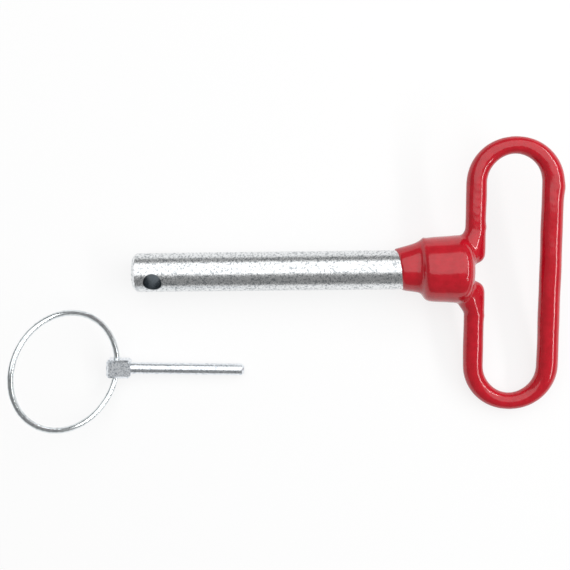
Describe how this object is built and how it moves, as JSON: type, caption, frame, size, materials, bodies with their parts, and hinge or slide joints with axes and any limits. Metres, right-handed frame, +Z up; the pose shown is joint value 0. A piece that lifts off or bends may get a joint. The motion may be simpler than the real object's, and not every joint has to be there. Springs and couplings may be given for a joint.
{
  "type": "hitch pin lock",
  "caption": "Round steel hitch pin with a cross hole and a dipped loop handle, with a headed lynch pin whose spring ring snaps shut.",
  "frame": {"origin": "middle of the footprint of the whole part, on the surface that both pins lie on", "axes": "+X along the hitch pin towards its handle, +Z up from the surface, the lynch pin lies at -Y"},
  "size_m": [0.218, 0.117, 0.0379],
  "materials": {
    "zinc_plated_steel": "bright zinc plating with a fine spangle",
    "plain_steel": "as drawn",
    "weld_metal": "as welded",
    "vinyl_dip": "glossy red dip coat",
    "zinc_plated_forging": "zinc plated, frosty on the head",
    "zinc_plated_wire": "zinc plated spring wire"
  },
  "bodies": {
    "hitch_pin": {"pin_forging": "zinc_plated_steel", "handle_rod": "plain_steel", "upper_weld": "weld_metal", "lower_weld": "weld_metal", "vinyl_coating": "vinyl_dip"},
    "lynch_pin": {"lynch_pin": "zinc_plated_forging"},
    "ring": {"lynch_ring": "zinc_plated_wire"}
  },
  "joints": [
    {"name": "lynch_pin_lift", "type": "slide", "parent": "hitch_pin", "child": "lynch_pin", "axis": [0, 0, 1], "range_m": [0, 0.08]},
    {"name": "ring_swing", "type": "hinge", "parent": "lynch_pin", "child": "ring", "pos_m": [-0.07243, -0.03342, 0.00434], "axis": [0.1094, 0.9848, 0.1347], "range_deg": [-34, 134.5]}
  ]
}
